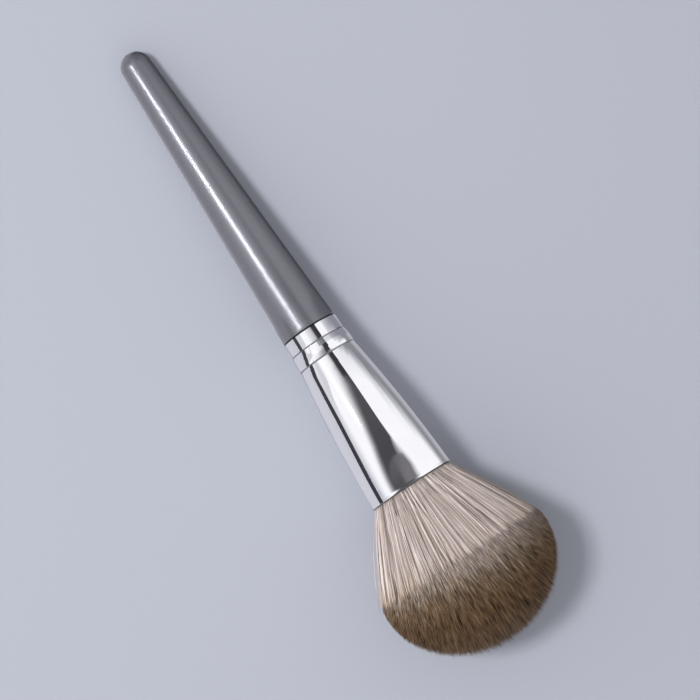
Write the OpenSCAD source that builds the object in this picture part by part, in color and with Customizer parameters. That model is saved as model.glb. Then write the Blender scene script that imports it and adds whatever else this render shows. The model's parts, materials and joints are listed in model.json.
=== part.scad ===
// A loose powder brush that lies at rest on a table.
//
// Each piece is built about the brush's own upright axis, with the nose of the
// handle at the bottom and the hair at the top. One move, lie_down(), then lays
// every piece on the table: +X runs from the handle to the hair, +Z is up, and
// the origin is on the table under the middle of the brush.
//
// The brush rests on its nose and on the belly of the tuft, so its axis climbs
// towards the hair by the angle "tilt", which is worked out from those sizes.

/* [Handle] */
// Length of handle that shows, from its nose to the ferrule
handle_len = 91; // [70:1:120]
// Diameter of the ball that rounds the nose
nose_d = 8.8; // [6:0.2:12]
// How far the wood's surface lies inside the ferrule's collar
shoulder_step = 0.15; // [0.05:0.05:0.4]
// Easing of the handle's edge at the ferrule
shoulder_ease = 0.35; // [0.1:0.05:0.6]
// Chamfer on the end of the tenon
tenon_chamfer = 0.8; // [0.3:0.1:1.5]
// Air left between the end of the tenon and the resin
tenon_gap = 2; // [1:0.5:5]
// Thickness of the glue between the tenon and the ferrule
glue_film = 0.15; // [0.05:0.05:0.3]
// Length of tenon that the glue covers
glue_len = 13; // [8:1:15]

/* [Ferrule] */
// Length of the ferrule, from the handle to its mouth
ferrule_len = 50.5; // [46:0.5:60]
// Thickness of the drawn metal
wall = 0.4; // [0.3:0.05:0.6]
// Diameter of the straight collar
collar_d = 16.3; // [15:0.1:18]
// Length of the straight collar
collar_len = 4.1; // [3:0.1:6]
// Easing of the metal's edge at the handle
collar_ease = 0.1; // [0.05:0.05:0.2]
// Width of each of the two fine lines that are rolled into the metal
line_w = 0.4; // [0.3:0.1:0.8]
// Depth of the fine lines
line_depth = 0.12; // [0.05:0.01:0.2]
// Step outwards at the fine line beside the collar
foot_step = 0.12; // [0.05:0.01:0.2]
// Width of the rise from there to the raised band
rise_w = 1.5; // [1:0.1:2]
// Width of the raised band
band_w = 2.6; // [2:0.1:4]
// How far the band stands proud of the start of the flare
band_proud = 0.15; // [0.05:0.05:0.4]
// How much narrower in radius the band is at its collar side
band_taper = 0.1; // [0:0.05:0.2]
// Height of the crown on the band
band_crown = 0.05; // [0.02:0.01:0.1]
// How much wider in radius the flare starts than the collar
neck_rise = 0.35; // [0:0.05:0.5]
// Diameter of the flare at the mouth
mouth_d = 24.6; // [22:0.2:28]
// How much the flare bows outwards, as a share of its growth
flare_bow_share = 0.6; // [0:0.05:0.8]
// Height of the lip at the mouth
lip_w = 0.9; // [0.6:0.1:1.5]
// How far the lip turns out
lip_proud = 0.12; // [0.05:0.01:0.3]

/* [Root of the hair] */
// Depth of the hair inside the ferrule
bundle_depth = 23; // [19:1:25]
// Length of the resin plug
resin_len = 6.5; // [4:0.5:8]
// How deep the roots sit in the resin
root_bed = 2.5; // [1:0.5:3]
// Thickness of the binding thread
thread_d = 0.8; // [0.5:0.1:1]
// Gap between the thread and the ferrule's wall
tie_gap = 0.25; // [0.1:0.05:0.5]
// Length in which the tied bundle widens to the ferrule's wall
spread_len = 3; // [2:0.5:5]
// Gap between the hair and what holds it
hair_gap = 0.05; // [0.03:0.01:0.1]

/* [Tuft] */
// Length of the hair beyond the mouth
tuft_len = 49.5; // [44:0.5:56]
// Diameter of the tuft at its belly
tuft_d = 50.8; // [46:0.2:58]
// Distance from the mouth to the belly
belly_at = 27.5; // [22:0.5:32]
// How far the packed hair stands proud of the mouth before it splits
pack_proud = 0.2; // [0.1:0.05:0.5]
// Depth of the flat on which the belly rests
flat_cut = 0.5; // [0.3:0.1:0.8]
// How far the strands' tips differ in length
tip_scatter = 0.35; // [0:0.05:0.6]
// How much the outer strands bow outwards near the belly, as a share of their spread
fan_bow_share = 0.4; // [0:0.05:0.6]

/* [Hidden] */

// Facets round a turned piece
turn_fn = 120;
// Steps in a rounded nose, a rolled form, the flare and the metal's rim
nose_steps = 16;
roll_steps = 8;
flare_steps = 18;
rim_steps = 8;
// Turns of the binding thread, and steps in the round of each
thread_turns = 4;
thread_steps = 6;

// Rings of strands. Ring n holds 12 n - 6 strands, so 8 rings hold 384.
strand_rings = 8;
sectors = 6;
// Heights of a strand's rings and the width that it keeps of its cell there
level_shares = [0, 0.5, 0.97];
keep_shares = [0.84, 0.87, 0.8];
// How far the lattice's points stray, as a share of their spacing
stray_share = 0.22;
// Heights of the packed hair's rings between the tie and the mouth
pack_shares = [0, 0.5];
// The turn of the dome's outline at the outer strands, in degrees past the tip
dome_turn = 97;
scatter_seed = 1;

// Radii
nose_r = nose_d / 2;
collar_r = collar_d / 2;
shoulder_r = collar_r - shoulder_step;
neck_r = collar_r + neck_rise;
foot_r = collar_r + foot_step;
band_r = neck_r + band_proud;
band_low_r = band_r - band_taper;
mouth_r = mouth_d / 2;
belly_r = tuft_d / 2;
rim_r = wall / 2;
thread_r = thread_d / 2;

// Heights on the brush's own axis
joint_z = handle_len;
collar_z = joint_z + collar_len;
foot_z = collar_z + line_w;
rise_z = foot_z + rise_w;
band_z = rise_z + band_w;
neck_z = band_z + line_w;
mouth_z = joint_z + ferrule_len;
rim_z = mouth_z - rim_r;
lip_z = rim_z - lip_w;
root_z = mouth_z - bundle_depth;
resin_top_z = root_z + root_bed;
resin_low_z = resin_top_z - resin_len;
tenon_end_z = resin_low_z - tenon_gap;
glue_end_z = joint_z + glue_len;
tie_z = resin_top_z + hair_gap;
tie_top_z = tie_z + thread_turns * thread_d;
spread_z = tie_top_z + spread_len;
pack_z = mouth_z + pack_proud;
belly_z = mouth_z + belly_at;
dome_h = tuft_len - belly_at;

function mix(a, b, t) = a + (b - a) * t;
// A smooth hump over t from 0 to 1, flat at both ends
function hump(t) = (1 - cos(360 * t)) / 2;
// A smooth step over t from 0 to 1
function ease(t) = (1 - cos(180 * t)) / 2;
function share_of(z, from, to) = (z - from) / (to - from);
function within(z, from, to) = z > from && z < to;
function steps(from, to, n) = [for (k = [0 : n - 1]) mix(from, to, k / n)];
function reversed(list) = [for (k = [len(list) - 1 : -1 : 0]) list[k]];

// The ferrule's outside before it is rolled: collar, rise, band, bowed flare
function drawn_r(z) =
    z <= collar_z ? collar_r :
    z <= foot_z ? mix(collar_r, foot_r, ease(share_of(z, collar_z, foot_z))) :
    z <= rise_z ? mix(foot_r, band_low_r, share_of(z, foot_z, rise_z)) :
    z <= band_z ? mix(band_low_r, band_r, share_of(z, rise_z, band_z)) :
    z <= neck_z ? mix(band_r, neck_r, ease(share_of(z, band_z, neck_z))) :
    let (t = share_of(z, neck_z, mouth_z))
    mix(neck_r, mouth_r, t * (1 + flare_bow_share * (1 - t)));

// What rolling the fine lines, the band's crown and the lip adds to it
function rolled_by(z) =
    within(z, collar_z, foot_z) ? -line_depth * hump(share_of(z, collar_z, foot_z)) :
    within(z, rise_z, band_z) ? band_crown * sin(180 * share_of(z, rise_z, band_z)) :
    within(z, band_z, neck_z) ? -line_depth * hump(share_of(z, band_z, neck_z)) :
    z > lip_z ? lip_proud * ease(share_of(z, lip_z, rim_z)) : 0;

// Heights at which the ferrule's outline has a point
stations = concat(
    [joint_z],
    steps(collar_z, foot_z, roll_steps),
    steps(foot_z, rise_z, roll_steps),
    steps(rise_z, band_z, roll_steps),
    steps(band_z, neck_z, roll_steps),
    steps(neck_z, lip_z, flare_steps),
    steps(lip_z, rim_z, roll_steps),
    [rim_z]
);
outside = [for (z = stations) [z, drawn_r(z) + rolled_by(z)]];
inside = [for (p = outside) [p[0], p[1] - wall]];

// The ferrule's inner wall, and the heights of its corners between two heights
function bore_r(z) = lookup(z, inside);
function corners(from, to) =
    concat([from], [for (z = stations) if (within(z, from, to)) z], [to]);

// The tenon is straight, and the fine line at the collar presses a groove into it
function tenon_r(z) = min(bore_r(z), collar_r - wall) - glue_film;

// Moves a piece from the brush's own upright axis to the table
module lie_down() {
    translate([shift_x, 0, nose_r])
        rotate([0, 90 - tilt, 0])
            translate([0, 0, -nose_r])
                children();
}

// The same move for one point
function laid(p) = [
    shift_x + (p[2] - nose_r) * cos(tilt) + p[0] * sin(tilt),
    p[1],
    nose_r + (p[2] - nose_r) * sin(tilt) - p[0] * cos(tilt)
];

// A turned piece from its outline, given as [radius, height]
module turned(outline) {
    rotate_extrude($fn = turn_fn) polygon(outline);
}

// Half angle of the handle's taper, which runs on from the nose ball
edge_z = joint_z - shoulder_ease;
taper_span = norm([shoulder_r, edge_z - nose_r]);
taper = acos(nose_r / taper_span) - atan2(edge_z - nose_r, shoulder_r);

module handle() {
    nose = [for (k = [0 : nose_steps])
        let (a = mix(-90, -taper, k / nose_steps))
        [nose_r * cos(a), nose_r + nose_r * sin(a)]];
    tenon = [for (z = corners(joint_z, tenon_end_z - tenon_chamfer)) [tenon_r(z), z]];
    color("dimgray")
        lie_down()
            turned(concat(
                nose,
                [[shoulder_r, edge_z], [shoulder_r - shoulder_ease, joint_z]],
                tenon,
                [[tenon_r(tenon_end_z) - tenon_chamfer, tenon_end_z], [0, tenon_end_z]]
            ));
}

module ferrule() {
    rim_mid = drawn_r(rim_z) + lip_proud - rim_r;
    rim = [for (k = [1 : rim_steps - 1])
        let (a = 180 * k / rim_steps)
        [rim_mid + rim_r * cos(a), rim_z + rim_r * sin(a)]];
    outer = [for (p = outside) if (p[0] > joint_z) [p[1], p[0]]];
    inner = [for (p = inside) [p[1], p[0]]];
    color("silver")
        lie_down()
            turned(concat(
                [[collar_r - collar_ease, joint_z], [collar_r, joint_z + collar_ease]],
                outer,
                rim,
                reversed(inner)
            ));
}

module tenon_adhesive() {
    heights = corners(joint_z, glue_end_z);
    color("khaki")
        lie_down()
            turned(concat(
                [for (z = heights) [bore_r(z), z]],
                [for (z = reversed(heights)) [tenon_r(z), z]]
            ));
}

// The tied root of the bundle
root_r = bore_r(root_z) - tie_gap - thread_d;
tied_r = root_r + hair_gap;

module root_resin() {
    color("goldenrod")
        lie_down()
            turned(concat(
                [[0, resin_low_z]],
                [for (z = corners(resin_low_z, resin_top_z)) [bore_r(z), z]],
                [[tied_r, resin_top_z], [tied_r, root_z], [0, root_z]]
            ));
}

module root_binding() {
    turns = [for (n = [0 : thread_turns - 1]) for (k = [0 : thread_steps])
        let (a = mix(-90, 90, k / thread_steps))
        if (n == 0 || k > 0)
        [tied_r + thread_r + thread_r * cos(a), tie_z + thread_r + n * thread_d + thread_r * sin(a)]];
    color("firebrick")
        lie_down()
            turned(concat([[tied_r, tie_z]], turns, [[tied_r, tie_top_z]]));
}

// The tuft is one closed solid. Its lower part is the packed bundle in the
// ferrule. The bundle's upper face is a round lattice of three-cornered cells,
// and one three-sided strand grows out of each cell. The lattice's points run
// on as rails that fan out to the dome, and a strand stays inside its three
// rails, so that no two strands can cross.

rim_points = sectors * strand_rings;
pack_r = bore_r(rim_z) - hair_gap;

// A rail's point: share of the radius, angle about the axis, share of the height
function rail(q, a, s) =
    let (
        r_top = belly_r * sin(dome_turn * q),
        z_top = belly_z + dome_h * cos(dome_turn * q),
        r = mix(pack_r * q, r_top, s + fan_bow_share * q * s * s * (1 - s))
    )
    [r * cos(a), r * sin(a), mix(pack_z, z_top, s)];

// Angle of point i on ring j of the lattice, and its place in the list of points
function turn_of(j, i) = j == 0 ? 0 : 360 * i / (sectors * j);
function place_of(j, i) = j == 0 ? 0 : 1 + sectors * j * (j - 1) / 2 + i % (sectors * j);
// Each point strays a little from its place. The rim's points stray only along
// the rim, and the middle one not at all.
chance = rands(-1, 1, 2 * (place_of(strand_rings, 0) + rim_points), scatter_seed);
function lattice_rail(c, s) =
    let (
        k = place_of(c[0], c[1]),
        out = c[0] == strand_rings || c[0] == 0 ? 0 : chance[2 * k] * stray_share,
        turn = turn_of(c[0], c[1] + chance[2 * k + 1] * stray_share)
    )
    rail((c[0] + out) / strand_rings, turn, s);

// Cells, each as the ring and the number of its three corners, anticlockwise
cells = concat(
    [for (j = [1 : strand_rings], n = [0 : sectors - 1], t = [0 : j - 1])
        [[j - 1, n * (j - 1) + t], [j, n * j + t], [j, n * j + t + 1]]],
    [for (j = [2 : strand_rings], n = [0 : sectors - 1], t = [0 : j - 2])
        [[j - 1, n * (j - 1) + t], [j, n * j + t + 1], [j - 1, n * (j - 1) + t + 1]]]
);

function shrunk(corner, middle, keep) = middle + (corner - middle) * keep;
function middle_of(p) = (p[0] + p[1] + p[2]) / len(p);

// The three corners of a strand at one of its levels
function strand_ring(cell, level) =
    let (
        p = [for (c = cell) lattice_rail(c, level_shares[level])],
        g = middle_of(p)
    )
    [for (c = p) shrunk(c, g, keep_shares[level])];

// A strand's tip, a little long or short
growth = rands(-tip_scatter, tip_scatter, len(cells), scatter_seed);
function strand_tip(n) =
    middle_of([for (c = cells[n]) lattice_rail(c, 1 + growth[n] / tuft_len)]);

function ring_at(r, z) =
    [for (i = [0 : rim_points - 1]) let (a = turn_of(strand_rings, i)) [r * cos(a), r * sin(a), z]];

pack_heights = [for (k = pack_shares) mix(spread_z, rim_z, k)];
pack_rings = concat(
    ring_at(root_r, root_z),
    ring_at(root_r, tie_top_z),
    [for (z = pack_heights) each ring_at(bore_r(z) - hair_gap, z)],
    ring_at(pack_r, rim_z)
);
lattice = [for (j = [0 : strand_rings], i = [0 : max(0, sectors * j - 1)]) lattice_rail([j, i], 0)];
strands = [for (n = [0 : len(cells) - 1]) each concat(
    [for (level = [0 : len(level_shares) - 1]) each strand_ring(cells[n], level)],
    [strand_tip(n)]
)];
tuft_points = concat(pack_rings, lattice, strands);

// The tilt at which the lowest strands reach flat_cut below the table, and the
// shift that puts the middle of the brush's length over the origin
tilt = max([for (p = strands) if (p[0] > 0)
    atan2(p[0], p[2] - nose_r) - asin((nose_r + flat_cut) / norm([p[0], p[2] - nose_r]))]);
reach = max([for (p = strands) (p[2] - nose_r) * cos(tilt) + p[0] * sin(tilt)]);
shift_x = (nose_r - reach) / 2;

// Faces, clockwise from outside
ring_total = len(pack_rings) / rim_points;
lattice_at = len(pack_rings);
strands_at = lattice_at + len(lattice);
strand_points = 3 * len(level_shares) + 1;

function wall_faces(low, high, count) = [for (i = [0 : count - 1]) each
    let (k = (i + 1) % count)
    [[low + i, high + i, high + k], [low + i, high + k, low + k]]];
function tip_faces(low, tip) = [for (i = [0 : 2]) [low + i, tip, low + (i + 1) % 3]];
function sill_faces(corner, low) = [for (i = [0 : 2]) each
    let (k = (i + 1) % 3)
    [[corner[i], low + i, low + k], [corner[i], low + k, corner[k]]]];

root_faces = [for (i = [1 : rim_points - 2]) [0, i, i + 1]];
pack_faces = [for (k = [0 : ring_total - 2]) each
    wall_faces(k * rim_points, (k + 1) * rim_points, rim_points)];
last_ring = (ring_total - 1) * rim_points;
lattice_rim = lattice_at + place_of(strand_rings, 0);
neck_faces = wall_faces(last_ring, lattice_rim, rim_points);
strand_faces = [for (n = [0 : len(cells) - 1]) each
    let (
        low = strands_at + n * strand_points,
        corner = [for (c = cells[n]) lattice_at + place_of(c[0], c[1])]
    )
    concat(
        sill_faces(corner, low),
        [for (level = [1 : len(level_shares) - 1]) each
            wall_faces(low + 3 * (level - 1), low + 3 * level, 3)],
        tip_faces(low + strand_points - 4, low + strand_points - 1)
    )];

module tuft() {
    color("tan")
        polyhedron(
            points = [for (p = tuft_points) let (w = laid(p)) [w[0], w[1], max(w[2], 0)]],
            faces = concat(root_faces, pack_faces, neck_faces, strand_faces),
            convexity = 10
        );
}

handle();
ferrule();
tenon_adhesive();
root_resin();
root_binding();
tuft();
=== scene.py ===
import json
import math

import bmesh
import bpy
import numpy as np
from mathutils import Matrix, Quaternion, Vector


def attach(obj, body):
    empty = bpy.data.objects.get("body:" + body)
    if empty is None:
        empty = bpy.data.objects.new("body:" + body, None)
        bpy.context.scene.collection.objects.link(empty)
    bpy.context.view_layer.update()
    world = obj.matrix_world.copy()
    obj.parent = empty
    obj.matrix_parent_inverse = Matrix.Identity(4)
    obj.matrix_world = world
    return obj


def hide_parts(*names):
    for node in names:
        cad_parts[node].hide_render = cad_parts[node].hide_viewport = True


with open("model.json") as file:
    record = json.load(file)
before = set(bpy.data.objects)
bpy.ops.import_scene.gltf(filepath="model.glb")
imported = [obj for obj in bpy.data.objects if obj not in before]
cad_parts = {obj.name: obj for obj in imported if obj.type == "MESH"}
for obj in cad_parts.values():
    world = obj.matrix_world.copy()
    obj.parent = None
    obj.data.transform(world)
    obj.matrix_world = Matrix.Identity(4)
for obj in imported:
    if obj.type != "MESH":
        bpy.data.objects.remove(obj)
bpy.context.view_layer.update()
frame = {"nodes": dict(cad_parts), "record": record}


# The camera hangs almost straight above the brush, leaning a little towards
# its near side, and is turned so that the brush lies corner to corner.
view_target = Vector((0.00578, 0.00627, 0.0165))
view_lean = Vector((-0.030, -0.1405, 1.0)).normalized()
view_turn = math.radians(57.46)
view_distance = 0.7206
view_lens = 136.8

camera = bpy.data.objects.new("camera", bpy.data.cameras.new("camera"))
bpy.context.scene.collection.objects.link(camera)
camera.data.lens = view_lens
upright = Vector((0, 0, 1))
facing = upright.rotation_difference(view_lean) @ Quaternion(upright, view_turn)
camera.location = view_target + view_lean * view_distance
camera.rotation_euler = facing.to_euler()
bpy.context.scene.camera = camera


# The table is a wide level sheet of pale blue grey paper, matt, with a faint
# grain. It is the stage on which the brush rests, not a part of the brush.
table_half = 6.0
table_colour = (0.462, 0.482, 0.550)
table_colour_low = (0.449, 0.469, 0.536)
table_roughness = 0.9
table_sheen = 0.2
grain_scale = 900.0
grain_detail = 3.0

bm = bmesh.new()
bmesh.ops.create_grid(bm, x_segments=1, y_segments=1, size=table_half)
table = bpy.data.objects.new("table", bpy.data.meshes.new("table"))
bm.to_mesh(table.data)
bm.free()
bpy.context.scene.collection.objects.link(table)

paper = bpy.data.materials.new("table_paper")
paper.use_nodes = True
paper_nodes = paper.node_tree.nodes
paper_links = paper.node_tree.links
paper_look = paper_nodes["Principled BSDF"]
paper_place = paper_nodes.new("ShaderNodeTexCoord")
grain = paper_nodes.new("ShaderNodeTexNoise")
grain.inputs["Scale"].default_value = grain_scale
grain.inputs["Detail"].default_value = grain_detail
paper_links.new(paper_place.outputs["Object"], grain.inputs["Vector"])
paper_tint = paper_nodes.new("ShaderNodeMix")
paper_tint.data_type = "RGBA"
paper_tint.inputs["A"].default_value = (*table_colour_low, 1)
paper_tint.inputs["B"].default_value = (*table_colour, 1)
paper_links.new(grain.outputs["Fac"], paper_tint.inputs["Factor"])
paper_links.new(paper_tint.outputs["Result"], paper_look.inputs["Base Color"])
paper_look.inputs["Roughness"].default_value = table_roughness
paper_look.inputs["Specular IOR Level"].default_value = table_sheen
table.data.materials.append(paper)


# The studio is a plain pale room, lighter on the near side. Its even light fills
# the shadows, and one small soft box, high on that side, throws them.
room_near = (0.98, 0.98, 0.99)
room_far = (0.20, 0.20, 0.21)
room_seen = (0.500, 0.525, 0.600)
key_place = Vector((-0.21, -0.395, 0.96))
key_side_length = 0.16
key_watts = 6.4

world = bpy.data.worlds.new("studio")
bpy.context.scene.world = world
world.use_nodes = True
sky = world.node_tree.nodes
sky_links = world.node_tree.links
path = sky.new("ShaderNodeLightPath")
mirrored = sky.new("ShaderNodeMath")
mirrored.operation = "MAXIMUM"
sky_links.new(path.outputs["Is Glossy Ray"], mirrored.inputs[0])
sky_links.new(path.outputs["Is Transmission Ray"], mirrored.inputs[1])
seen = sky.new("ShaderNodeMath")
seen.operation = "MAXIMUM"
sky_links.new(path.outputs["Is Camera Ray"], seen.inputs[0])
sky_links.new(mirrored.outputs["Value"], seen.inputs[1])
sky_place = sky.new("ShaderNodeTexCoord")
sky_split = sky.new("ShaderNodeSeparateXYZ")
sky_links.new(sky_place.outputs["Generated"], sky_split.inputs["Vector"])
across = sky.new("ShaderNodeMapRange")
across.inputs["From Min"].default_value = -1.0
sky_links.new(sky_split.outputs["Y"], across.inputs["Value"])
fill = sky.new("ShaderNodeMix")
fill.data_type = "RGBA"
fill.inputs["A"].default_value = (*room_near, 1)
fill.inputs["B"].default_value = (*room_far, 1)
sky_links.new(across.outputs["Result"], fill.inputs["Factor"])
room = sky.new("ShaderNodeMix")
room.data_type = "RGBA"
room.inputs["B"].default_value = (*room_seen, 1)
sky_links.new(fill.outputs["Result"], room.inputs["A"])
sky_links.new(seen.outputs["Value"], room.inputs["Factor"])
sky_links.new(room.outputs["Result"], sky["Background"].inputs["Color"])

key = bpy.data.lights.new("key_box", "AREA")
key.shape = "SQUARE"
key.size = key_side_length
key.energy = key_watts
key_box = bpy.data.objects.new("key_box", key)
key_box.location = view_target + key_place
key_box.rotation_euler = key_place.to_track_quat("Z", "Y").to_euler()
key_box.visible_camera = False
key_box.visible_glossy = False
bpy.context.scene.collection.objects.link(key_box)
bpy.context.scene.view_settings.view_transform = "Standard"


# White sheets on both sides and the dark stand over the brush are what the bright
# metal mirrors. Some are within the view and close to the metal, but the camera
# doesn't see them and they throw no shadow: they act through reflections alone.
def card(name, colour, *rows):
    """A sheet through rows of points, (x, y, z, cover), that only mirrored rays meet."""
    bm = bmesh.new()
    cover = bm.verts.layers.float.new("cover")
    lines = []
    for row in rows:
        line = []
        for x, y, z, share in row:
            vert = bm.verts.new((x, y, z))
            vert[cover] = share
            line.append(vert)
        lines.append(line)
    for low, high in zip(lines, lines[1:]):
        for k in range(len(low) - 1):
            bm.faces.new((low[k], low[k + 1], high[k + 1], high[k]))
    piece = bpy.data.objects.new(name, bpy.data.meshes.new(name))
    bm.to_mesh(piece.data)
    bm.free()
    bpy.context.scene.collection.objects.link(piece)
    look = bpy.data.materials.new(name)
    look.use_nodes = True
    nodes = look.node_tree.nodes
    card_links = look.node_tree.links
    nodes.remove(nodes["Principled BSDF"])
    glow = nodes.new("ShaderNodeEmission")
    glow.inputs["Color"].default_value = (*colour, 1)
    clear = nodes.new("ShaderNodeBsdfTransparent")
    covered = nodes.new("ShaderNodeAttribute")
    covered.attribute_name = "cover"
    both = nodes.new("ShaderNodeMixShader")
    card_links.new(covered.outputs["Fac"], both.inputs["Fac"])
    card_links.new(clear.outputs["BSDF"], both.inputs[1])
    card_links.new(glow.outputs["Emission"], both.inputs[2])
    card_links.new(both.outputs["Shader"], nodes["Material Output"].inputs["Surface"])
    piece.data.materials.append(look)
    piece.visible_camera = False
    piece.visible_diffuse = False
    piece.visible_transmission = False
    piece.visible_shadow = False


def level_column(x, z, *spots):
    """Points along Y at one x and z, each given as (y, cover)."""
    return [(x, y, z, share) for y, share in spots]


def stand_column(x, lean, most, far, far_soft, full, gone):
    """Points across the stand: a far edge, and a wide soft near one that leans as it thins."""
    fading = [(full + (gone - full) * t, (1 + math.cos(math.pi * t)) / 2)
              for t in (0, 0.25, 0.5, 0.75, 1)]
    return ([(x, far + far_soft, stand_z, 0), (x, far + 0.4 * far_soft, stand_z, 0.6 * most),
             (x, far, stand_z, most)]
            + [(x - lean * (y / gone) ** 2, y, stand_z, share * most) for y, share in fading])


sheet_white = (1.05, 1.05, 1.08)
core_white = (72.0, 72.0, 73.0)
stand_z = 0.30
stand_foot_z = stand_z - 0.01
collar_sheet_z = 0.0535
collar_shade_z = collar_sheet_z - 0.0003
shade_y = 0.020
strip_y = -0.020

# The near side: its tall white sheet, the greyer foot of it, and a small bright
# core for the highlight
card("near_sheet", sheet_white,
     [(-0.95, -0.90, 0.015, 0.8), (0.65, -0.90, 0.015, 0.8)],
     [(-0.95, -0.80, 0.20, 1), (0.65, -0.80, 0.20, 1)],
     [(-0.95, -0.74, 0.62, 1), (0.65, -0.74, 0.62, 1)],
     [(-0.75, -0.15, 1.20, 1), (0.65, -0.15, 1.20, 1)],
     [(-0.75, 0.02, 1.30, 1), (0.65, 0.02, 1.30, 1)],
     [(-0.75, 0.22, 1.30, 1), (0.65, 0.22, 1.30, 1)])
card("near_shade", (0.57, 0.57, 0.62),
     [(-0.75, -0.68, 0.02, 1), (-0.31, -0.68, 0.02, 1), (-0.18, -0.68, 0.01, 1),
      (-0.10, -0.68, -0.02, 1), (-0.05, -0.68, -0.02, 1), (0.40, -0.68, -0.02, 1)],
     [(-0.75, -0.68, 0.20, 0.6), (-0.31, -0.68, 0.18, 0.6), (-0.18, -0.68, 0.15, 0.6),
      (-0.10, -0.68, 0.10, 0.6), (-0.05, -0.68, 0.05, 0.6), (0.40, -0.68, 0.05, 0.6)],
     [(-0.75, -0.68, 0.44, 0), (-0.31, -0.68, 0.38, 0), (-0.18, -0.68, 0.32, 0),
      (-0.10, -0.68, 0.27, 0), (-0.05, -0.68, 0.19, 0), (0.40, -0.68, 0.19, 0)])
card("near_core", core_white,
     [(-0.465, -0.602, 0.7195, 1), (-0.335, -0.602, 0.7195, 1)],
     [(-0.455, -0.518, 0.8045, 1), (-0.325, -0.518, 0.8045, 1)])

# The far side: its white sheet, the dark room past it, and sheets on the table under both, a
# painted reflection of the table's light and shade
card("far_sheet", sheet_white,
     [(-0.40, 0.85, -0.02, 0), (-0.23, 0.85, -0.02, 0), (-0.18, 0.85, -0.02, 0),
      (-0.125, 0.85, -0.02, 0.35), (-0.068, 0.85, -0.02, 0.95), (0.60, 0.85, -0.02, 1)],
     [(-0.40, 0.704, 0.13, 0), (-0.23, 0.704, 0.13, 0.1), (-0.18, 0.704, 0.13, 0.5),
      (-0.125, 0.704, 0.13, 0.9), (-0.068, 0.704, 0.13, 1), (0.60, 0.704, 0.13, 1)],
     [(-0.40, 0.558, 0.28, 0), (-0.23, 0.558, 0.28, 0.75), (-0.18, 0.558, 0.28, 1),
      (-0.125, 0.558, 0.28, 1), (-0.068, 0.558, 0.28, 1), (0.60, 0.558, 0.28, 1)],
     [(-0.55, 0.10, 0.75, 0), (-0.40, 0.10, 0.75, 1), (-0.30, 0.10, 0.75, 1),
      (-0.20, 0.10, 0.75, 1), (-0.10, 0.10, 0.75, 1), (0.60, 0.10, 0.75, 1)])
card("far_room", (0.27, 0.28, 0.31),
     [(-1.40, 0.20, -0.01, 1), (-1.20, 0.10, 1.20, 1)],
     [(-0.90, 0.88, -0.01, 1), (-0.80, 0.30, 1.20, 1)],
     [(0.60, 0.88, -0.01, 1), (0.60, 0.30, 1.20, 1)])
card("far_table_foot", (0.46, 0.46, 0.51),
     [(-0.007, 0.008, 0.0004, 1), (0.055, 0.008, 0.0004, 1)],
     [(-0.007, 0.060, 0.0004, 1), (0.055, 0.060, 0.0004, 1)])
card("far_table_shade", (0.27, 0.275, 0.30),
     [(-0.008, 0.034, 0.0006, 0), (0.60, 0.034, 0.0006, 0)],
     [(-0.020, 0.054, 0.0006, 1), (0.60, 0.054, 0.0006, 1)],
     [(-0.60, 0.90, 0.0006, 1), (0.60, 0.90, 0.0006, 1)])
card("far_table_sheet", sheet_white,
     [(-0.10, 0.50, 0.001, 0), (-0.01, 0.11, 0.001, 0), (0.02, 0.07, 0.001, 0),
      (0.045, 0.07, 0.001, 0), (0.60, 0.07, 0.001, 0)],
     [(-0.05, 0.95, 0.001, 1), (0.01, 0.35, 0.001, 1), (0.03, 0.25, 0.001, 1),
      (0.045, 0.18, 0.001, 1), (0.60, 0.18, 0.001, 1)],
     [(-0.04, 0.96, 0.001, 1), (0.05, 0.96, 0.001, 1), (0.10, 0.96, 0.001, 1),
      (0.20, 0.96, 0.001, 1), (0.60, 0.96, 0.001, 1)])

# Around the handle, and on the table's near side: a painted reflection of the shade beside the
# handle and of the table's light and shade, and a white sheet over the handle
card("handle_shade", (0.09, 0.09, 0.105),
     [(-0.30, 0.003, 0.0005, 1), (-0.0055, 0.003, 0.0005, 1)],
     [(-0.30, 0.030, 0.0005, 1), (-0.0055, 0.030, 0.0005, 1)],
     [(-0.30, 0.060, 0.0005, 0), (-0.0055, 0.060, 0.0005, 0)])
card("handle_sheet", (0.88, 0.88, 0.93), *[
    level_column(x, 0.055, (0.014, 0), (0.004, 0.5), (-0.008, 0.9), (-0.016, 1), (-0.022, 0))
    for x in (-0.24, -0.034)])
card("handle_foot", (0.78, 0.78, 0.86), *[
    level_column(x, 0.0004, (-0.004, 1), (-0.0185, 1)) for x in (-0.30, -0.010)])
card("near_table_foot", (0.45, 0.46, 0.53),
     [(-0.005, -0.006, 0.0004, 1), (0.060, -0.006, 0.0004, 1)],
     [(-0.005, -0.0165, 0.0004, 1), (0.060, -0.0165, 0.0004, 1)])
card("near_table_sheet", (0.66, 0.66, 0.73),
     [(-0.40, -0.018, 0.0008, 0.9), (0.30, -0.018, 0.0008, 0.9)],
     [(-0.40, -0.045, 0.0008, 1), (0.30, -0.045, 0.0008, 1)],
     [(-0.40, -0.12, 0.0008, 0.4), (0.30, -0.12, 0.0008, 0.4)],
     [(-0.40, -0.40, 0.0008, 0), (0.30, -0.40, 0.0008, 0)])

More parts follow.
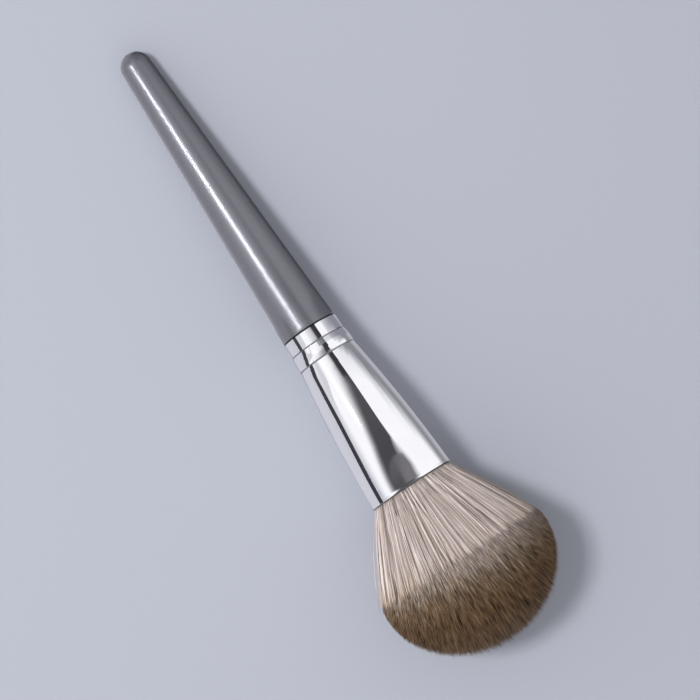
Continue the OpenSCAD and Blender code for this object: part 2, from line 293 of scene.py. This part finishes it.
# Over the brush: the dark stand, seen as the long wedge, and its paler foot
card("stand", (0.052, 0.052, 0.060),
     stand_column(-0.240, 0.02, 0.0, 0.120, 0.002, 0.100, -0.100),
     stand_column(-0.190, 0.02, 0.8, 0.115, 0.002, 0.090, -0.110),
     stand_column(-0.145, 0.01, 0.97, 0.108, 0.001, 0.062, -0.142),
     stand_column(-0.115, 0.015, 0.97, 0.102, 0.001, 0.052, -0.185),
     stand_column(-0.080, 0.018, 0.97, 0.088, 0.001, -0.070, -0.235),
     stand_column(-0.0625, 0.025, 0.98, 0.080, 0.030, -0.125, -0.315),
     stand_column(-0.047, 0.036, 0.985, 0.020, 0.140, -0.205, -0.460),
     stand_column(-0.036, 0.044, 0.985, 0.085, 0.085, -0.250, -0.560),
     stand_column(-0.025, 0.046, 0.985, 0.050, 0.110, -0.270, -0.640),
     stand_column(0.100, 0.046, 0.985, 0.050, 0.110, -0.270, -0.640))
card("stand_foot", (0.20, 0.19, 0.205),
     level_column(-0.043, stand_foot_z, (0.110, 0), (0.085, 0.9), (0.0, 0.7), (-0.05, 0.5),
                  (-0.10, 0.4), (-0.22, 0.35), (-0.26, 0.1)),
     level_column(-0.033, stand_foot_z, (0.110, 0), (0.085, 1), (0.0, 0.85), (-0.05, 0.6),
                  (-0.10, 0.35), (-0.22, 0.25), (-0.26, 0.1)),
     level_column(-0.025, stand_foot_z, (0.095, 0), (0.070, 0.9), (0.0, 1), (-0.05, 0.8),
                  (-0.10, 0.15), (-0.22, 0), (-0.26, 0)),
     level_column(0.100, stand_foot_z, (0.095, 0), (0.070, 0.9), (0.0, 1), (-0.05, 0.8),
                  (-0.10, 0.15), (-0.22, 0), (-0.26, 0)))

# Close around the collar and the band, and the dark line along the flare
card("collar_sheet", sheet_white,
     level_column(-0.0185, collar_sheet_z, (0.003, 0.02), (-0.001, 0.40), (-0.006, 0.61),
                  (-0.012, 0.76), (-0.022, 1), (-0.050, 1)),
     level_column(-0.0092, collar_sheet_z, (0.003, 0.02), (-0.001, 0.38), (-0.006, 0.58),
                  (-0.012, 0.74), (-0.022, 1), (-0.050, 1)),
     level_column(-0.0072, collar_sheet_z, (0.001, 0), (-0.001, 0.17), (-0.006, 0.34),
                  (-0.012, 0.54), (-0.022, 0.85), (-0.050, 0.9)),
     level_column(-0.0035, collar_sheet_z, (0.001, 0), (-0.001, 0.14), (-0.006, 0.30),
                  (-0.012, 0.50), (-0.022, 0.8), (-0.050, 0.9)),
     level_column(0.0020, collar_sheet_z, (0.001, 0), (-0.001, 0), (-0.006, 0), (-0.012, 0),
                  (-0.022, 0), (-0.050, 0)))
card("collar_dark", (0.040, 0.040, 0.048), *[
    level_column(x, collar_shade_z, (far, part), (0.0035, part), (0.0005, 0.5 * part), (-0.0015, 0))
    for x, far, part in ((-0.0150, 0.0124, 1), (-0.0092, 0.0124, 1), (-0.0075, 0.0100, 1),
                         (-0.0035, 0.0100, 1), (-0.0020, 0.0100, 0))])
card("collar_near_shade", (0.70, 0.70, 0.75), *[
    level_column(x, collar_shade_z, (-0.036, 0), (-0.046, part), (-0.130, part))
    for x, part in ((-0.0300, 1), (-0.0115, 1), (-0.0095, 0))])
card("collar_far_shade", (0.27, 0.265, 0.32), *[
    [(x, shade_y, z + lift, share * part) for z, share in (
        (0.040, 0), (0.035, 0.45), (0.028, 0.75), (0.021, 0.95), (0.015, 1), (0.008, 0.6))]
    for x, lift, part in ((-0.014, 0, 1), (-0.0055, 0, 1), (-0.0030, -0.005, 1),
                          (-0.0008, -0.005, 1), (0.0008, -0.005, 0))])
card("dark_strip", (0.020, 0.020, 0.026),
     *[[(x, strip_y, top, 0.95), (x, strip_y, low, 0.95)] for x, top, low in (
         (-0.014, 0.0266, 0.0216), (-0.005, 0.0266, 0.0216), (-0.001, 0.0262, 0.0214),
         (0.0025, 0.0247, 0.0202), (0.0066, 0.0254, 0.0209), (0.0108, 0.0259, 0.0215),
         (0.0167, 0.0267, 0.0225), (0.0226, 0.0269, 0.0230), (0.0285, 0.0269, 0.0231),
         (0.0344, 0.0267, 0.0230), (0.0440, 0.0269, 0.0231))])


# Handle: one piece of turned wood with a ball nose and a straight taper, in
# several coats of pearl grey lacquer. Its end is eased where it meets the metal.
collar_mount = frame["record"]["mounts"][0]
along = -Vector(collar_mount["axis"])
nose_d = 0.0088
handle_len = 0.091
collar_len = 0.0041
collar_ease = 0.0001
collar_d = 0.0163
shoulder_step = 0.00015
shoulder_ease = 0.00035
inner_r = 0.0072
taper_from = 0.008
taper_end_room = 0.0006
handle_turn_steps = 160
nose_steps = 28
taper_steps = 14
ease_steps = 6
nose_r = nose_d / 2
collar_r = collar_d / 2
shoulder_r = collar_r - shoulder_step
mount_z = handle_len + (collar_ease + collar_len) / 2

# The brush's own upright axis, laid down as the frame has it
lower_side = Vector((along.z, 0, -along.x))
laid = Matrix.Translation(Vector(collar_mount["pos_m"]) - along * mount_z) @ Matrix(
    (lower_side, (0, 1, 0), along)).transposed().to_4x4()


def turned(name, outline, turn_steps):
    """A lathe piece from its outline, given as (radius, height) on the brush's own axis."""
    bm = bmesh.new()
    points = [bm.verts.new((r, 0, z)) for r, z in outline]
    for low, high in zip(points, points[1:]):
        bm.edges.new((low, high))
    bmesh.ops.spin(
        bm, geom=bm.verts[:] + bm.edges[:], cent=(0, 0, 0), axis=(0, 0, 1),
        angle=2 * math.pi, steps=turn_steps, use_merge=True)
    bmesh.ops.remove_doubles(bm, verts=bm.verts[:], dist=1e-7)
    bmesh.ops.recalc_face_normals(bm, faces=bm.faces[:])
    bm.transform(laid)
    piece = bpy.data.objects.new(name, bpy.data.meshes.new(name))
    bm.to_mesh(piece.data)
    bm.free()
    piece.data.shade_smooth()
    bpy.context.scene.collection.objects.link(piece)
    return piece


edge_z = handle_len - shoulder_ease
taper_span = math.hypot(shoulder_r, edge_z - nose_r)
taper = math.acos(nose_r / taper_span) - math.atan2(edge_z - nose_r, shoulder_r)
nose_turns = np.linspace(-math.pi / 2, -taper, nose_steps)
ease_turns = np.linspace(0, math.pi / 2, ease_steps)
handle_outline = (
    [(nose_r * math.cos(a), nose_r + nose_r * math.sin(a)) for a in nose_turns]
    + [(nose_r / math.cos(taper) + (z - nose_r) * math.tan(taper), z)
       for z in np.linspace(taper_from, edge_z - taper_end_room, taper_steps)]
    + [(shoulder_r - shoulder_ease * (1 - math.cos(a)), edge_z + shoulder_ease * math.sin(a))
       for a in ease_turns]
    + [(inner_r, handle_len), (0, handle_len)]
)
handle_outline[0] = (0, 0)
handle = turned("handle_lacquered", handle_outline, handle_turn_steps)

# A point's place on the brush's own upright axis, for every finish that follows it
own_frame = bpy.data.node_groups.new("own_frame", "ShaderNodeTree")
own_frame.interface.new_socket("Place", in_out="OUTPUT", socket_type="NodeSocketVector")
own_frame.interface.new_socket("Height", in_out="OUTPUT", socket_type="NodeSocketFloat")
own_place = own_frame.nodes.new("ShaderNodeTexCoord")
own_turn = own_frame.nodes.new("ShaderNodeMapping")
own_turn.vector_type = "TEXTURE"
own_turn.inputs["Location"].default_value = laid.translation
own_turn.inputs["Rotation"].default_value = laid.to_euler()
own_split = own_frame.nodes.new("ShaderNodeSeparateXYZ")
own_out = own_frame.nodes.new("NodeGroupOutput")
own_frame.links.new(own_place.outputs["Object"], own_turn.inputs["Vector"])
own_frame.links.new(own_turn.outputs["Vector"], own_split.inputs["Vector"])
own_frame.links.new(own_turn.outputs["Vector"], own_out.inputs["Place"])
own_frame.links.new(own_split.outputs["Z"], own_out.inputs["Height"])


def ranged(tree, source, low, high, to_low, to_high):
    """A value brought from one range to another."""
    node = tree.nodes.new("ShaderNodeMapRange")
    for name, value in (
            ("From Min", low), ("From Max", high), ("To Min", to_low), ("To Max", to_high)):
        node.inputs[name].default_value = value
    tree.links.new(source, node.inputs["Value"])
    return node.outputs["Result"]


def noise(tree, place, scale, detail, stretch=(1, 1, 1)):
    """Soft noise, a wave to each 1 / scale metres, drawn out where its stretch is below 1."""
    squeeze = tree.nodes.new("ShaderNodeVectorMath")
    squeeze.operation = "MULTIPLY"
    squeeze.inputs[1].default_value = stretch
    tree.links.new(place, squeeze.inputs[0])
    node = tree.nodes.new("ShaderNodeTexNoise")
    node.inputs["Scale"].default_value = scale
    node.inputs["Detail"].default_value = detail
    tree.links.new(squeeze.outputs["Vector"], node.inputs["Vector"])
    return node.outputs["Fac"]


def mixed(tree, factor, a, b):
    """Colour a where the factor is 0 and b where it is 1. Each is a colour or a socket."""
    node = tree.nodes.new("ShaderNodeMix")
    node.data_type = "RGBA"
    tree.links.new(factor, node.inputs["Factor"])
    for name, colour in (("A", a), ("B", b)):
        if isinstance(colour, tuple):
            node.inputs[name].default_value = (*colour, 1)
        else:
            tree.links.new(colour, node.inputs[name])
    return node.outputs["Result"]


def bumped(tree, height, distance, under=None):
    """A normal from a height that stands for that many metres at 1."""
    node = tree.nodes.new("ShaderNodeBump")
    node.inputs["Distance"].default_value = distance
    tree.links.new(height, node.inputs["Height"])
    if under is not None:
        tree.links.new(under, node.inputs["Normal"])
    return node.outputs["Normal"]


def finish_for(name):
    """A new material with its tree, its shader and the own-axis place and height in it."""
    look = bpy.data.materials.new(name)
    look.use_nodes = True
    frame_node = look.node_tree.nodes.new("ShaderNodeGroup")
    frame_node.node_tree = own_frame
    return (look, look.node_tree, look.node_tree.nodes["Principled BSDF"],
            frame_node.outputs["Place"], frame_node.outputs["Height"])


# Fine flake and a faint cloud in the lacquer, and painted shade of the joint gap over the handle's
# last fraction of a millimetre
pearl_dark = (0.142, 0.142, 0.166)
pearl_light = (0.176, 0.176, 0.200)
cloud_colour = (0.125, 0.123, 0.145)
cloud_share = 0.12
joint_shade_colour = (0.012, 0.012, 0.014)
joint_shade_from = 0.00030
joint_shade_full = 0.00018
pearl_metal_share = 0.5
lacquer_roughness = (0.31, 0.35)
coat_share = 0.75
coat_roughness = 0.25
flake_scale = 5200.0
cloud_scale = 70.0
ripple_scale = 420.0
ripple_height = 0.000004
lacquer, tree, shader, place, height = finish_for("pearl_grey_lacquer")
flake = noise(tree, place, flake_scale, 1.0)
cloud = noise(tree, place, cloud_scale, 2.0, (1, 1, 0.4))
pearl = mixed(tree, ranged(tree, flake, 0.35, 0.65, 0, 1), pearl_dark, pearl_light)
body = mixed(tree, ranged(tree, cloud, 0.3, 0.7, 0, cloud_share), pearl, cloud_colour)
# Painted shade of the joint gap: just before the metal the lacquer turns near black and loses its
# metal and its coat
joint_shade = ranged(tree, height, handle_len - joint_shade_from, handle_len - joint_shade_full, 0, 1)
tree.links.new(mixed(tree, joint_shade, body, joint_shade_colour), shader.inputs["Base Color"])
tree.links.new(ranged(tree, joint_shade, 0, 1, pearl_metal_share, 0), shader.inputs["Metallic"])
tree.links.new(ranged(tree, cloud, 0.3, 0.7, *lacquer_roughness), shader.inputs["Roughness"])
tree.links.new(ranged(tree, joint_shade, 0, 1, coat_share, 0), shader.inputs["Coat Weight"])
shader.inputs["Coat Roughness"].default_value = coat_roughness
ripple = noise(tree, place, ripple_scale, 1.0)
tree.links.new(bumped(tree, ripple, ripple_height), shader.inputs["Normal"])
handle.data.materials.append(lacquer)
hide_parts("handle")
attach(handle, "root")


# Ferrule: one drawn and plated metal shell. Rollers have raised its band and
# pressed a fine line on each side of it, and its mouth is turned out to a lip.
ferrule_len = 0.0505
wall = 0.0004
line_w = 0.0004
line_depth = 0.00012
foot_step = 0.00012
rise_w = 0.0015
band_w = 0.0026
band_proud = 0.00015
band_taper = 0.0001
band_crown = 0.00005
neck_rise = 0.00035
mouth_d = 0.0246
flare_bow_share = 0.6
lip_w = 0.0009
lip_proud = 0.00003
ferrule_turn_steps = 256
rim_steps = 10
collar_z = handle_len + collar_len
foot_z = collar_z + line_w
rise_z = foot_z + rise_w
band_z = rise_z + band_w
neck_z = band_z + line_w
mouth_z = handle_len + ferrule_len
rim_r = wall / 2
rim_z = mouth_z - rim_r
lip_z = rim_z - lip_w
neck_r = collar_r + neck_rise
foot_r = collar_r + foot_step
band_r = neck_r + band_proud
band_low_r = band_r - band_taper
mouth_r = mouth_d / 2


def share_of(z, low, high):
    return (z - low) / (high - low)


def eased(t):
    return (1 - math.cos(math.pi * t)) / 2


def ferrule_r(z):
    """The ferrule's outer radius at a height on the brush's own axis."""
    if z <= collar_z:
        return collar_r
    if z <= foot_z:
        t = share_of(z, collar_z, foot_z)
        return collar_r + foot_step * eased(t) - line_depth * eased(2 * t)
    if z <= rise_z:
        return foot_r + (band_low_r - foot_r) * share_of(z, foot_z, rise_z)
    if z <= band_z:
        t = share_of(z, rise_z, band_z)
        return band_low_r + band_taper * t + band_crown * math.sin(math.pi * t)
    if z <= neck_z:
        t = share_of(z, band_z, neck_z)
        return band_r + (neck_r - band_r) * eased(t) - line_depth * eased(2 * t)
    t = share_of(z, neck_z, mouth_z)
    r = neck_r + (mouth_r - neck_r) * t * (1 + flare_bow_share * (1 - t))
    return r + lip_proud * eased(share_of(max(z, lip_z), lip_z, rim_z))


def stations_between(low, high, steps):
    """Heights crowded towards both ends, which keeps the edges there crisp."""
    t = np.linspace(0, math.pi, steps + 1)[:-1]
    return low + (high - low) * (1 - np.cos(t)) / 2


stations = np.concatenate([
    stations_between(handle_len + collar_ease, collar_z, 16),
    stations_between(collar_z, foot_z, 12),
    stations_between(foot_z, rise_z, 16),
    stations_between(rise_z, band_z, 20),
    stations_between(band_z, neck_z, 12),
    stations_between(neck_z, lip_z, 48),
    np.linspace(lip_z, rim_z, rim_steps),
])
rim_mid = ferrule_r(rim_z) - rim_r
outer = [(ferrule_r(z), z) for z in stations]
rim = [(rim_mid + rim_r * math.cos(a), rim_z + rim_r * math.sin(a))
       for a in np.linspace(0, math.pi, rim_steps)[1:-1]]
inner = [(r - wall, z) for r, z in reversed(outer)]
end = [(collar_r - wall, handle_len), (collar_r - collar_ease, handle_len)]
ferrule_outline = outer + rim + inner + end + outer[:1]
ferrule = turned("ferrule_plated", ferrule_outline, ferrule_turn_steps)

# A mirror with a faint haze and turning marks. Painted shade darkens its two pressed lines and its
# foot at the joint, and its rim at the mouth is dark, a dull cut edge with painted shade of the gap
# at the hair
plate_clear = (0.91, 0.91, 0.925)
plate_hazed = (0.87, 0.87, 0.89)
foot_shade_colour = (0.050, 0.050, 0.056)
line_shade_colour = (0.36, 0.36, 0.38)
cut_and_shade_colour = (0.030, 0.030, 0.034)
cut_and_shade_metal_share = 0.3
cut_and_shade_from = 0.00006
cut_and_shade_full = 0.00002
plate_roughness = (0.026, 0.052)
haze_scale = 110.0
ring_scale = 2600.0
ring_height = 0.0000006
dent_scale = 130.0
dent_height = 0.000022
plate, tree, shader, place, height = finish_for("bright_plate")
haze = noise(tree, place, haze_scale, 3.0)
rings = noise(tree, place, ring_scale, 1.0, (0.02, 0.02, 1))
dents = noise(tree, place, dent_scale, 1.0, (1, 1, 0.35))
shine = mixed(tree, ranged(tree, haze, 0.3, 0.7, 0, 1), plate_clear, plate_hazed)
# The rim of the mouth is dark: a dull cut edge, with painted shade of the gap at the hair
cut_and_shade = ranged(tree, height, rim_z - cut_and_shade_from, rim_z + cut_and_shade_full, 0, 1)
# Painted shade of the joint gap on the metal's first fraction of a millimetre
foot_shade = ranged(tree, height, handle_len + joint_shade_full, handle_len + joint_shade_from, 1, 0)
shine = mixed(tree, foot_shade, shine, foot_shade_colour)
# Painted shade in the two pressed lines
for line_z in (collar_z + line_w / 2, band_z + line_w / 2):
    off_line = tree.nodes.new("ShaderNodeMath")
    off_line.operation = "SUBTRACT"
    off_line.inputs[1].default_value = line_z
    tree.links.new(height, off_line.inputs[0])
    away = tree.nodes.new("ShaderNodeMath")
    away.operation = "ABSOLUTE"
    tree.links.new(off_line.outputs["Value"], away.inputs[0])
    line_shade = ranged(tree, away.outputs["Value"], line_w / 3, line_w * 0.7, 1, 0)
    shine = mixed(tree, line_shade, shine, line_shade_colour)
tree.links.new(mixed(tree, cut_and_shade, shine, cut_and_shade_colour), shader.inputs["Base Color"])
tree.links.new(ranged(tree, cut_and_shade, 0, 1, 1, cut_and_shade_metal_share), shader.inputs["Metallic"])
tree.links.new(ranged(tree, haze, 0.25, 0.75, *plate_roughness), shader.inputs["Roughness"])
turned_marks = bumped(tree, rings, ring_height)
tree.links.new(bumped(tree, dents, dent_height, turned_marks), shader.inputs["Normal"])
ferrule.data.materials.append(plate)
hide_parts("ferrule")
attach(ferrule, "root")


# Glue, resin and thread: hidden in the closed ferrule. The glue and the resin
# are cured clear amber, and the thread is four turns of waxed white cotton.
glue_dark = (0.70, 0.60, 0.36)
glue_light = (0.84, 0.77, 0.58)
glue_mottle_scale = 600.0
glue_roughness = 0.3
resin_dark = (0.62, 0.43, 0.16)
resin_light = (0.80, 0.64, 0.34)
resin_mottle_scale = 350.0
resin_roughness = 0.22
thread_dark = (0.72, 0.68, 0.60)
thread_light = (0.93, 0.91, 0.86)
fibre_scale = 9000.0
fibre_height = 0.00003
thread_roughness = 0.75

glue, tree, shader, place, _ = finish_for("cured_glue")
mottle = noise(tree, place, glue_mottle_scale, 2.0)
tree.links.new(mixed(tree, mottle, glue_dark, glue_light), shader.inputs["Base Color"])
shader.inputs["Roughness"].default_value = glue_roughness
frame["nodes"]["tenon_adhesive"].material_slots[0].material = glue

resin, tree, shader, place, _ = finish_for("cast_resin")
mottle = noise(tree, place, resin_mottle_scale, 3.0)
tree.links.new(mixed(tree, mottle, resin_dark, resin_light), shader.inputs["Base Color"])
shader.inputs["Roughness"].default_value = resin_roughness
frame["nodes"]["root_resin"].material_slots[0].material = resin

thread, tree, shader, place, _ = finish_for("waxed_thread")
fibre = noise(tree, place, fibre_scale, 2.0, (1, 1, 0.25))
tree.links.new(mixed(tree, fibre, thread_dark, thread_light), shader.inputs["Base Color"])
shader.inputs["Roughness"].default_value = thread_roughness
tree.links.new(bumped(tree, fibre, fibre_height), shader.inputs["Normal"])
frame["nodes"]["root_binding"].material_slots[0].material = thread


# Tuft: a bundle of fine synthetic hairs, fanned out from the ferrule's mouth
# and set to a round dome. Each is pale at its root and dyed brown at its tip.
tuft_len = 0.0495
tuft_d = 0.0508
belly_at = 0.0275
dome_turn = math.radians(97)
fan_bow_share = 0.12
hair_r = 0.00012
root_thick_share = 0.5
root_growth_share = 1.4
tip_end_share = 1.06
tip_span_share = 0.20
hair_sides = 3
hair_cuts = [0.20, 0.45, 0.70, 0.90]
hairs_per_piece = 7000
tuft_pieces = 7
clump_count = 8000
search_parts = 20
golden_turn = math.pi * (3 - math.sqrt(5))
belly_z = mouth_z + belly_at
dome_h = tuft_len - belly_at
belly_r = tuft_d / 2
pack_r = ferrule_r(rim_z) - wall - hair_r
table_room = 0.0001
mouth_x = (laid @ Vector((0, 0, mouth_z))).x

# How uneven the hairs are: in share of the bundle's radius, of their own length,
# of their tone and dye, and in metres of sway
clump_spread_share = 0.004
clump_tone_spread = 0.22
clump_dye_spread = 0.032
clump_reach_spread = 0.005
clump_pull_share = 0.30
home_spread_share = 0.003
full_reach_share = 0.996
reach_spread = 0.005
short_share = 0.018
stray_odds = 0.012
stray_reach_share = 0.012
stray_sway = 0.00060
hair_sway = 0.00017
middle_sway = 0.00035
tip_sway_share = 0.7
hair_wave = 0.00006
wave_turns = 1.25
tone_spread = 0.24
tone_wander = 0.10
clump_tone_share = 0.15
brown_tone_gain = 1.2
dye_spread = 0.045
dye_bow_share = 0.067
dye_lean_share = 0.025
dye_shift_full = 0.25
brown_from = 1 / 2
brown_full = 2 / 3
map_margin = 0.02
map_top_margin = 0.01
map_face_room = 0.004

bm = bmesh.new()
bmesh.ops.create_cone(bm, segments=hair_sides, radius1=1, radius2=0, depth=1, cap_ends=False,
                      matrix=Matrix.Translation((0, 0, 0.5)))
for cut in hair_cuts:
    bmesh.ops.bisect_plane(bm, geom=bm.verts[:] + bm.edges[:] + bm.faces[:],
                           plane_co=(0, 0, cut), plane_no=(0, 0, 1))
bmesh.ops.recalc_face_normals(bm, faces=bm.faces[:])
one_hair = bpy.data.meshes.new("one_hair")
bm.to_mesh(one_hair)
bm.free()
one_hair.uv_layers.new(name="OFBake")
one_hair.shade_smooth()
hair_points = len(one_hair.vertices)

chance = np.random.default_rng(7)
clump_q = np.sqrt((np.arange(clump_count) + 0.5) / clump_count)
clump_a = np.arange(clump_count) * golden_turn
clump_xy = np.stack([clump_q * np.cos(clump_a), clump_q * np.sin(clump_a)], -1)
clump_xy += chance.normal(0, clump_spread_share, (clump_count, 2))
clump_tone = chance.normal(0, clump_tone_spread, clump_count)
clump_dye = chance.normal(0, clump_dye_spread, clump_count)
clump_reach = chance.normal(0, clump_reach_spread, clump_count)


def fan(q, a, s):
    """A point of the fan at a share q of the radius, an angle a and a share s of the length."""
    top_r = belly_r * np.sin(dome_turn * q)
    top_z = belly_z + dome_h * np.cos(dome_turn * q)
    t = s + fan_bow_share * q * s * s * (1 - s)
    r = pack_r * q + (top_r - pack_r * q) * t
    z = mouth_z + (top_z - mouth_z) * s
    return np.stack([r * np.cos(a), r * np.sin(a), z], -1)


def colour_ramp(tree, source, stops):
    """A colour that follows a value through its stops."""
    node = tree.nodes.new("ShaderNodeValToRGB")
    points = node.color_ramp.elements
    points.remove(points[0])
    for position, colour in stops[:-1]:
        points.new(position).color = (*colour, 1)
    points[-1].position = stops[-1][0]
    points[-1].color = (*stops[-1][1], 1)
    tree.links.new(source, node.inputs["Fac"])
    return node.outputs["Color"]


hair_look = bpy.data.materials.new("two_tone_hair")
hair_look.use_nodes = True
tree = hair_look.node_tree
shader = tree.nodes["Principled BSDF"]
hair_map = tree.nodes.new("ShaderNodeUVMap")
hair_map.uv_map = "OFBake"
hair_split = tree.nodes.new("ShaderNodeSeparateXYZ")
tree.links.new(hair_map.outputs["UV"], hair_split.inputs["Vector"])
# The first stop is painted shade on the hairs' first millimetre, next to the ferrule's rim; the
# rest runs from the pale root to the brown dye
dye_and_root_shade_stops = [
    (0.001, (0.20, 0.17, 0.16)), (0.022, (0.68, 0.590, 0.561)), (0.40, (0.68, 0.590, 0.561)),
    (0.49, (0.61, 0.505, 0.430)), (0.55, (0.475, 0.350, 0.248)), (0.59, (0.375, 0.255, 0.158)),
    (0.63, (0.300, 0.188, 0.105)), (0.70, (0.262, 0.155, 0.080)), (0.80, (0.250, 0.150, 0.080)),
    (0.96, (0.235, 0.150, 0.095))]
tone_stops = [
    (0.02, (0.17, 0.14, 0.12)), (0.30, (0.59, 0.55, 0.50)), (0.50, (0.98, 0.97, 0.95)),
    (0.72, (1.31, 1.33, 1.35)), (0.98, (1.78, 1.84, 1.90))]
hair_roughness = 0.55
hair_sheen = 0.18
dye_and_root_shade = colour_ramp(tree, hair_split.outputs["Y"], dye_and_root_shade_stops)
tone = colour_ramp(tree, hair_split.outputs["X"], tone_stops)
toned = tree.nodes.new("ShaderNodeVectorMath")
toned.operation = "MULTIPLY"
tree.links.new(dye_and_root_shade, toned.inputs[0])
tree.links.new(tone, toned.inputs[1])
tree.links.new(toned.outputs["Vector"], shader.inputs["Base Color"])
shader.inputs["Roughness"].default_value = hair_roughness
shader.inputs["Specular IOR Level"].default_value = hair_sheen

for number in range(tuft_pieces):
    master = bpy.data.objects.new("master", one_hair)
    bpy.context.scene.collection.objects.link(master)
    copies = master.modifiers.new("copies", "ARRAY")
    copies.count = hairs_per_piece
    copies.use_relative_offset = False
    bpy.context.view_layer.update()
    graph = bpy.context.evaluated_depsgraph_get()
    mesh = bpy.data.meshes.new_from_object(master.evaluated_get(graph))
    bpy.data.objects.remove(master)

    shape = np.empty(len(mesh.vertices) * 3)
    mesh.vertices.foreach_get("co", shape)
    shape = shape.reshape(hairs_per_piece, hair_points, 3)
    level = shape[..., 2]
    place_in_fan = np.arange(hairs_per_piece) * tuft_pieces + number + 0.5
    q = np.sqrt(place_in_fan / (hairs_per_piece * tuft_pieces))
    a = place_in_fan * golden_turn
    home = np.stack([q * np.cos(a), q * np.sin(a)], -1)
    home += chance.normal(0, home_spread_share, (hairs_per_piece, 2))
    q = np.minimum(np.hypot(home[:, 0], home[:, 1]), 1)
    a = np.arctan2(home[:, 1], home[:, 0])

    # Its nearest clump, searched a part at a time to keep the table of distances small
    clump = np.concatenate([((part[:, None] - clump_xy[None]) ** 2).sum(-1).argmin(1)
                            for part in np.array_split(home, search_parts)])
    stray = chance.random(hairs_per_piece) < stray_odds
    reach = (full_reach_share + chance.normal(0, reach_spread, hairs_per_piece)
             + clump_reach[clump] + stray_reach_share * stray)
    reach -= chance.exponential(short_share, hairs_per_piece)
    s = level * reach[:, None]

    # Each hair leans towards the middle of its clump, most at its tip
    pull = clump_pull_share * np.clip(s, 0, 1) ** 1.5
    drawn = home[:, None] + (clump_xy[clump] - home)[:, None] * pull[..., None]
    line = fan(np.hypot(drawn[..., 0], drawn[..., 1]), np.arctan2(drawn[..., 1], drawn[..., 0]), s)
    loose = np.where(stray, stray_sway, hair_sway + middle_sway * (1 - q) ** 3)
    sway = chance.normal(0, 1, (hairs_per_piece, 3)) * loose[:, None]
    wave = chance.normal(0, hair_wave, (hairs_per_piece, 3))
    bend = np.sin(math.pi * np.clip(s, 0, 1)) + tip_sway_share * s * s
    line = line + sway[:, None] * bend[..., None]
    line = line + wave[:, None] * np.sin(2 * wave_turns * math.pi * s)[..., None]

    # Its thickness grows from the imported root, then narrows to a fine tip
    thick = (hair_r * np.clip(root_thick_share + root_growth_share * level, root_thick_share, 1)
             * np.clip((tip_end_share - level) / tip_span_share, 0, 1))
    thick = np.where(level > 0.999, 0, thick)
    ring = np.arctan2(shape[..., 1], shape[..., 0])
    ring = ring + chance.random(hairs_per_piece)[:, None] * 2 * math.pi
    step = fan(q, a, np.ones(hairs_per_piece)) - fan(q, a, np.zeros(hairs_per_piece))
    step /= np.linalg.norm(step, axis=-1, keepdims=True)
    side = np.cross(step, [0.0, 1.0, 0.1])
    side /= np.linalg.norm(side, axis=-1, keepdims=True)
    rise = np.cross(step, side)
    spot = line + thick[..., None] * (
        np.cos(ring)[..., None] * side[:, None] + np.sin(ring)[..., None] * rise[:, None])
    spot = spot.reshape(-1, 3) @ np.array(laid.to_3x3()).T + np.array(laid.translation)
    spot[:, 2] = np.maximum(spot[:, 2], table_room)
    mesh.vertices.foreach_set("co", spot.ravel())

    # Across its map runs each hair's own tone, which wanders along the hair and varies
    # more where it is brown, and up the map runs how far the hair is dyed. Each face
    # gets some width there
    point = np.empty(len(mesh.loops), dtype=np.int64)
    mesh.loops.foreach_get("vertex_index", point)
    ring_number = np.searchsorted(hair_cuts, level[0] - 0.01)
    wander = chance.normal(0, tone_wander, (hairs_per_piece, len(hair_cuts) + 2))[:, ring_number]
    shift = chance.normal(0, dye_spread, hairs_per_piece) + clump_dye[clump]
    across_r = spot[:, 1] / belly_r
    dyed = ((spot[:, 0] - mouth_x) / tuft_len
            + dye_bow_share * across_r ** 2 - dye_lean_share * across_r
            + np.repeat(shift, hair_points) * np.clip(level.ravel() / dye_shift_full, 0, 1))
    brown = np.clip(share_of(dyed, brown_from, brown_full), 0, 1)
    shade = (chance.normal(0, tone_spread, (hairs_per_piece, 1)) + wander).ravel()
    shade += np.repeat(clump_tone[clump], hair_points) * (
        clump_tone_share + (1 - clump_tone_share) * brown)
    shade = 0.5 + shade * (1 + brown_tone_gain * brown)
    uv = np.empty((len(point), 2))
    uv[:, 0] = np.clip(shade[point], map_margin, 1 - map_margin) + map_face_room * (point % 3 - 1)
    uv[:, 1] = np.clip(dyed[point], map_top_margin, 1 - map_top_margin)
    mesh.uv_layers["OFBake"].data.foreach_set("uv", uv.ravel())
    mesh.materials.append(hair_look)
    mesh.update()
    piece = bpy.data.objects.new("tuft_hair_%d" % (number + 1), mesh)
    bpy.context.scene.collection.objects.link(piece)
    if number == 0:
        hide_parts("tuft")
    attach(piece, "root")
